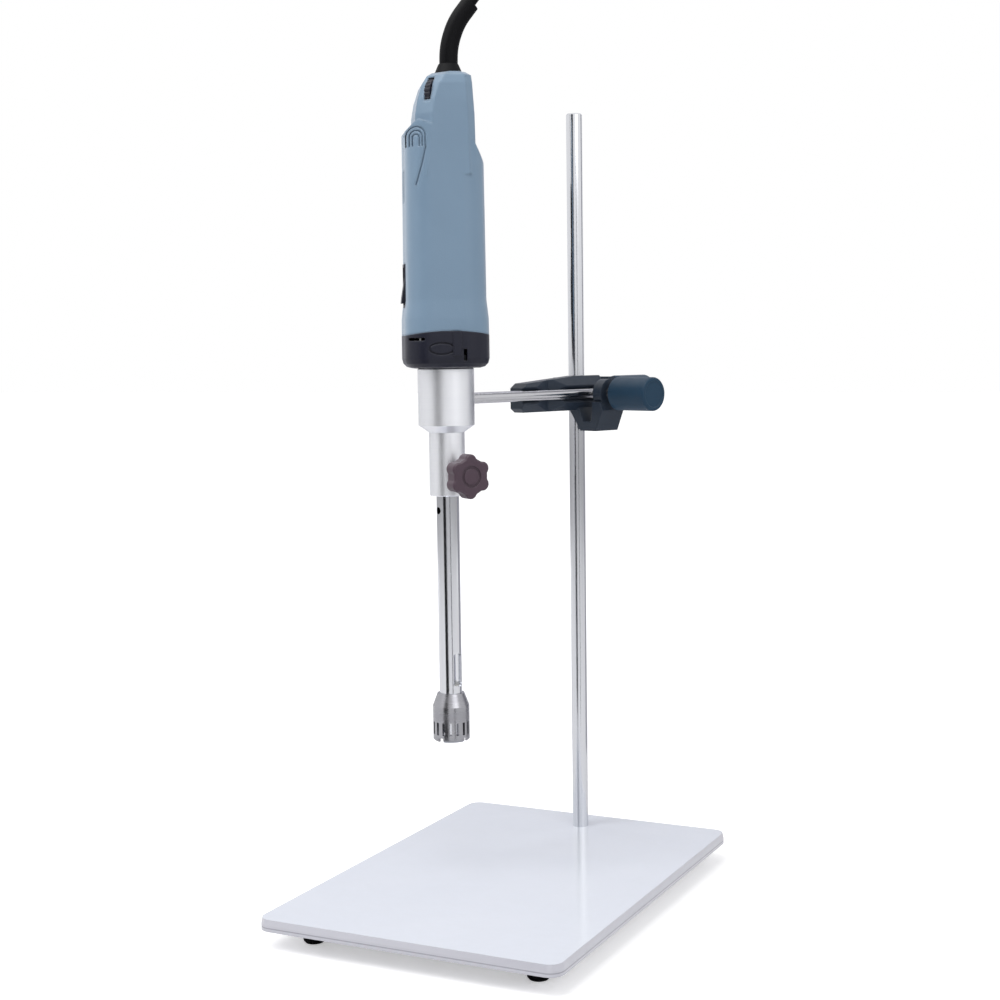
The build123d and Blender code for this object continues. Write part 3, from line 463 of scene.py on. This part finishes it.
# Each finish has two tones of its colour. A metal's gloss wanders from low to high.
materials = {
    "white_enamel": enamelled("whiteEnamel"),
    "black_rubber": moulded(
        "blackRubber", (0.0018, 0.0018, 0.0026), (0.0034, 0.0034, 0.0046), rough=0.5, grainScale=1800.0,
        bumpDepth=0.0001, specular=0.1),
    "zinc_screws": metal(
        "zincScrews", (0.6, 0.6, 0.58), (0.5, 0.5, 0.5), low=0.25, high=0.4, stretch=evenly, scale=900.0),
    "polished_steel": metal(
        "polishedSteel", (0.8, 0.81, 0.84), (0.58, 0.59, 0.63), low=0.09, high=0.2, stretch=lengthwise,
        scale=900.0),
    "slate_casting": moulded(
        "slateCasting", (0.017, 0.026, 0.042), (0.022, 0.033, 0.052), rough=0.36, grainScale=1100.0,
        bumpDepth=0.0003, wearColour=(0.07, 0.1, 0.14), specular=0.3, edgeRadius=0.0014),
    "slate_knob": moulded(
        "slateKnob", (0.012, 0.038, 0.072), (0.016, 0.047, 0.086), rough=0.45, grainScale=1600.0,
        bumpDepth=0.0002, wearColour=(0.05, 0.1, 0.15), specular=0.2, edgeRadius=0.0008),
    "bright_spindle": metal(
        "brightSpindle", (0.62, 0.62, 0.62), (0.5, 0.5, 0.5), low=0.18, high=0.3, stretch=evenly,
        scale=700.0),
    "turned_aluminium": metal(
        "turnedAluminium", (0.87, 0.88, 0.91), (0.83, 0.84, 0.88), low=0.38, high=0.45, stretch=roundwise,
        scale=5000.0, bumpDepth=0.000006),
    "blue_grey_housing": moulded(
        "blueGreyHousing", (0.155, 0.238, 0.335), (0.185, 0.278, 0.382), rough=0.4, grainScale=1500.0,
        bumpDepth=0.0003, wearColour=(0.27, 0.37, 0.48), sheen=0.3, edgeRadius=0.0024),
    "black_moulding": moulded(
        "blackMoulding", (0.0075, 0.0085, 0.018), (0.011, 0.012, 0.024), rough=0.36, grainScale=1400.0,
        bumpDepth=0.0003, wearColour=(0.06, 0.06, 0.085), specular=0.3, edgeRadius=0.0012),
    "brown_phenolic": moulded(
        "brownPhenolic", (0.06, 0.036, 0.053), (0.082, 0.052, 0.07), rough=0.42, grainScale=1300.0,
        bumpDepth=0.0003, wearColour=(0.15, 0.11, 0.13), specular=0.35, edgeRadius=0.0012),
    "lamination_steel": metal(
        "laminationSteel", (0.3, 0.3, 0.31), (0.2, 0.2, 0.21), low=0.35, high=0.5, stretch=roundwise,
        scale=1800.0),
    "copper_winding": metal(
        "copperWinding", (0.62, 0.26, 0.1), (0.45, 0.16, 0.06), low=0.3, high=0.45, stretch=roundwise,
        scale=1500.0),
    "brass_holder": metal(
        "brassHolder", (0.72, 0.52, 0.22), (0.6, 0.42, 0.16), low=0.25, high=0.4, stretch=evenly,
        scale=900.0),
    "carbon": moulded(
        "carbon", (0.02, 0.02, 0.02), (0.04, 0.04, 0.04), rough=0.55, grainScale=1800.0, bumpDepth=0.0001),
    "circuit_board": moulded(
        "circuitBoard", (0.015, 0.13, 0.05), (0.02, 0.16, 0.06), rough=0.35, grainScale=600.0,
        bumpDepth=0.00005),
    "white_ptfe": moulded(
        "whitePtfe", (0.8, 0.8, 0.77), (0.86, 0.86, 0.84), rough=0.45, grainScale=900.0, bumpDepth=0.00005),
}
# Two pieces whose finish differs from the rest of their slot
nodeFinishes = {
    "arm_rod": metal(
        "armSteel", (0.6, 0.6, 0.62), (0.48, 0.48, 0.51), low=0.12, high=0.22, stretch=alongArm,
        scale=900.0),
    "stator_head": metal(
        "statorSteel", (0.4, 0.4, 0.42), (0.33, 0.33, 0.36), low=0.2, high=0.3, stretch=roundwise,
        scale=2200.0, bumpDepth=0.00001),
}

for part in frame["record"]["subparts"]:
    target = nodes[part["node"]]
    finish = nodeFinishes.get(part["node"], materials[part["material_slot"]])
    if not target.data.materials:
        target.data.materials.append(None)
    for slot in target.material_slots:
        slot.link = "OBJECT"
        slot.material = finish
mainsCord.data.materials.append(materials["black_rubber"])
print("stage 4: materials")

# Floor, backdrop light and lamps, in metres and watts. A mirrored lamp shows in the metal.
studio = {
    "floor": 12.0,
    "floorGlow": {"near": 0.42, "far": 0.75, "from": 0.5, "to": 1.6},
    "lamps": {
        "key": {"place": (-1.1, -1.4, 2.1), "size": 1.2, "power": 23.0, "mirrored": True},
        "fill": {"place": (1.8, -1.1, 1.5), "size": 1.6, "power": 13.0, "mirrored": True},
        "top": {"place": (0.0, -0.6, 2.0), "size": 1.0, "power": 13.0, "mirrored": True},
        "leftRim": {"place": (-1.9, 0.6, 0.7), "size": 0.9, "power": 8.0, "mirrored": False},
        "rightRim": {"place": (1.6, 1.3, 0.7), "size": 0.9, "power": 7.0, "mirrored": False},
    },
    "aim": (0.0, 0.0, 0.3),
    "worldLight": 0.4,
    "flagPlace": {"from": 0.42, "to": 2.6, "clear": 0.001, "height": 3.2},
    "flagBlue": 1.1,  # how much bluer than grey a flag is
    "flags": {  # degrees round the object, width in metres and shade
        "left": {"angle": -8.0, "width": 1.35, "shade": 0.015},
        "middle": {"angle": 46.0, "width": 0.3, "shade": 0.12},
        "right": {"angle": 150.0, "width": 1.5, "shade": 0.34},
        "back": {"angle": 205.0, "width": 2.4, "shade": 0.62},
    },
}


def showToEye(tree):
    # White for the eye, for mirror reflections and through glass
    path = addNode(tree, "ShaderNodeLightPath")
    first = addNode(tree, "ShaderNodeMath", operation="MAXIMUM")
    second = addNode(tree, "ShaderNodeMath", operation="MAXIMUM")
    tree.links.new(path.outputs["Is Camera Ray"], first.inputs[0])
    tree.links.new(path.outputs["Is Glossy Ray"], first.inputs[1])
    tree.links.new(first.outputs[0], second.inputs[0])
    tree.links.new(path.outputs["Is Transmission Ray"], second.inputs[1])
    return second.outputs[0]


def addFlag(name, flag):
    # A dark card, standing up and running along the floor, that only mirror reflections see
    reach = studio["flagPlace"]
    near, far, clear = reach["from"], reach["to"], reach["clear"]
    angle = radians(flag["angle"])
    outward, across = Vector((sin(angle), -cos(angle), 0)), Vector((cos(angle), sin(angle), 0))
    corners = []
    for distance, height in ((near, clear), (far, clear), (far, reach["height"])):
        half = across * flag["width"] / 2 * distance / far
        middle = outward * distance + Vector((0, 0, height))
        corners += [middle - half, middle + half]
    mesh = bpy.data.meshes.new(name + "Flag")
    mesh.from_pydata(corners, [], [(0, 1, 3, 2), (2, 3, 5, 4)])
    card = bpy.data.objects.new(name + "Flag", mesh)
    scene.collection.objects.link(card)
    material, _, shader = newMaterial(name + "FlagCard")
    shade = flag["shade"]
    setInputs(shader, Base_Color=(0, 0, 0, 1), Roughness=1.0, Specular_IOR_Level=0.0, Emission_Strength=1.0,
              Emission_Color=(shade, shade, shade * studio["flagBlue"], 1))
    mesh.materials.append(material)
    for way in ("visible_camera", "visible_diffuse", "visible_shadow", "visible_transmission"):
        setattr(card, way, False)


def addFloor():
    # A pale floor whose glow grows with distance, so that no horizon shows against the white
    mesh = bpy.data.meshes.new("floor")
    reach, glow = studio["floor"], studio["floorGlow"]
    corners = [(-reach, -reach, 0), (reach, -reach, 0), (reach, reach, 0), (-reach, reach, 0)]
    mesh.from_pydata(corners, [], [(0, 1, 2, 3)])
    floor = bpy.data.objects.new("floor", mesh)
    scene.collection.objects.link(floor)
    material, tree, shader = newMaterial("paleFloor")
    setInputs(shader, Base_Color=(0.86, 0.86, 0.87, 1), Roughness=0.9, Specular_IOR_Level=0.1)
    place = addNode(tree, "ShaderNodeNewGeometry")
    away = addNode(tree, "ShaderNodeVectorMath", operation="LENGTH")
    fade = addNode(tree, "ShaderNodeMapRange", interpolation_type="SMOOTHSTEP")
    setInputs(fade, From_Min=glow["from"], From_Max=glow["to"], To_Min=glow["near"], To_Max=glow["far"])
    shown = addNode(tree, "ShaderNodeMath", operation="MULTIPLY")
    path = addNode(tree, "ShaderNodeLightPath")
    tree.links.new(place.outputs["Position"], away.inputs[0])
    tree.links.new(away.outputs["Value"], fade.inputs["Value"])
    tree.links.new(fade.outputs["Result"], shown.inputs[0])
    tree.links.new(path.outputs["Is Camera Ray"], shown.inputs[1])
    setInputs(shader, Emission_Color=(1, 1, 1, 1))
    tree.links.new(shown.outputs[0], shader.inputs["Emission Strength"])
    mesh.materials.append(material)


def addLamp(name, lamp):
    data = bpy.data.lights.new(name, "AREA")
    data.energy = lamp["power"]
    data.size = lamp["size"]
    light = bpy.data.objects.new(name, data)
    light.location = lamp["place"]
    aim = Vector(studio["aim"]) - Vector(lamp["place"])
    light.rotation_euler = aim.to_track_quat("-Z", "Y").to_euler()
    light.visible_glossy = lamp["mirrored"]
    scene.collection.objects.link(light)


def addWorld():
    world = bpy.data.worlds.new("studio")
    world.use_nodes = True
    tree = world.node_tree
    back = tree.nodes["Background"]
    strength = addNode(tree, "ShaderNodeMapRange")
    setInputs(strength, To_Min=studio["worldLight"], To_Max=1.0)
    tree.links.new(showToEye(tree), strength.inputs["Value"])
    tree.links.new(strength.outputs["Result"], back.inputs["Strength"])
    back.inputs["Color"].default_value = (1, 1, 1, 1)
    scene.world = world


addFloor()
for name, lamp in studio["lamps"].items():
    addLamp(name, lamp)
for name, flag in studio["flags"].items():
    addFlag(name, flag)
addWorld()
scene.view_settings.view_transform = "Standard"
print("stage 5: studio")

bpy.context.view_layer.update()
